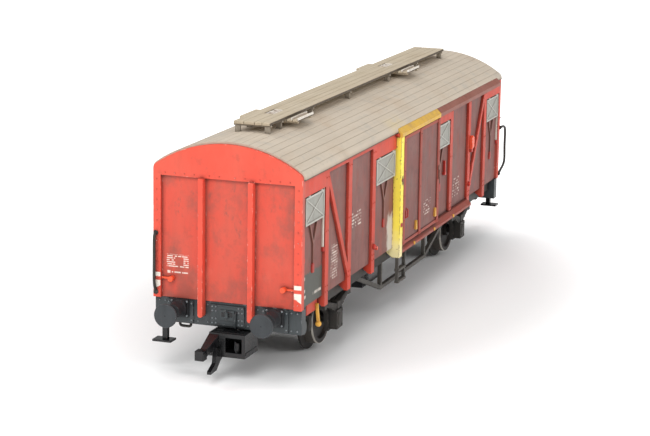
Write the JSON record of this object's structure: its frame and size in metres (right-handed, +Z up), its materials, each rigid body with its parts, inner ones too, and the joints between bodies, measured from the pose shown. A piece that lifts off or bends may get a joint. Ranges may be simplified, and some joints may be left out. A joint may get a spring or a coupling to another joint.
{
  "type": "covered goods wagon scale model",
  "caption": "Scale model of a covered goods wagon: hollow framed body with sliding side doors, arched roof with walkway, underframe, turning wheelsets and swinging claw couplers.",
  "frame": {"origin": "bottom centre of the whole wagon's box, where the wheel flanges stand", "axes": "+X along the wagon towards its rear, +Z up, the wagon's left side towards -Y"},
  "size_m": [0.1186, 0.0246, 0.0359],
  "materials": {
    "end_red": "satin, weathered",
    "frame_red": "satin, weathered",
    "side_brown": "matt, dusty",
    "roof_grey": "matt, dusty",
    "post_yellow": "satin, chipped",
    "flap_grey": "matt",
    "slate": "satin",
    "gear_grey": "matt, dusty",
    "black": "satin",
    "wheel_steel": "blackened, bright treads",
    "ballast_steel": "plain"
  },
  "bodies": {
    "wagon": {"floor": "gear_grey", "side_wall_left": "side_brown", "side_wall_right": "side_brown", "end_wall_front": "end_red", "end_wall_rear": "end_red", "roof": "roof_grey", "side_frame_left": "frame_red", "side_frame_right": "frame_red", "door_posts": "post_yellow", "top_rail_left": "frame_red", "top_rail_right": "frame_red", "lower_rail_left": "frame_red", "lower_rail_right": "frame_red", "vent_flaps_left": "flap_grey", "vent_flaps_right": "flap_grey", "flap_rods": "gear_grey", "walkway": "roof_grey", "walkway_brackets": "gear_grey", "roof_vents": "flap_grey", "sole_bars": "gear_grey", "middle_sills": "gear_grey", "cross_members": "gear_grey", "headstock_front": "slate", "headstock_rear": "slate", "buffers_front": "slate", "buffers_rear": "slate", "axle_guards_front": "gear_grey", "axle_guards_rear": "gear_grey", "brake_blocks": "gear_grey", "brake_cylinder": "black", "air_tank": "black", "truss_left": "gear_grey", "truss_right": "gear_grey", "ballast_weight": "ballast_steel", "door_steps": "gear_grey", "shunter_steps": "black", "handrails": "slate", "lamp_brackets": "end_red", "changeover_levers": "post_yellow", "rope_hooks": "slate", "coupler_pockets": "black"},
    "front_wheelset": {"wheelset_front": "wheel_steel"},
    "rear_wheelset": {"wheelset_rear": "wheel_steel"},
    "front_coupler": {"coupler_front": "black"},
    "rear_coupler": {"coupler_rear": "black"},
    "left_door": {"door_left": "side_brown"},
    "right_door": {"door_right": "side_brown"}
  },
  "joints": [
    {"name": "front_wheels_turn", "type": "hinge", "parent": "wagon", "child": "front_wheelset", "pos_m": [-0.03335, 0, 0.00505], "axis": [0, 1, 0], "continuous": true},
    {"name": "rear_wheels_turn", "type": "hinge", "parent": "wagon", "child": "rear_wheelset", "pos_m": [0.03335, 0, 0.00505], "axis": [0, 1, 0], "continuous": true},
    {"name": "front_coupler_swing", "type": "hinge", "parent": "wagon", "child": "front_coupler", "pos_m": [-0.04605, 0, 0.0058], "axis": [0, 0, 1], "range_deg": [-15, 15]},
    {"name": "rear_coupler_swing", "type": "hinge", "parent": "wagon", "child": "rear_coupler", "pos_m": [0.04605, 0, 0.0058], "axis": [0, 0, 1], "range_deg": [-15, 15]},
    {"name": "left_door_slide", "type": "slide", "parent": "wagon", "child": "left_door", "axis": [1, 0, 0], "range_m": [0, 0.0174]},
    {"name": "right_door_slide", "type": "slide", "parent": "wagon", "child": "right_door", "axis": [-1, 0, 0], "range_m": [0, 0.0174]}
  ]
}
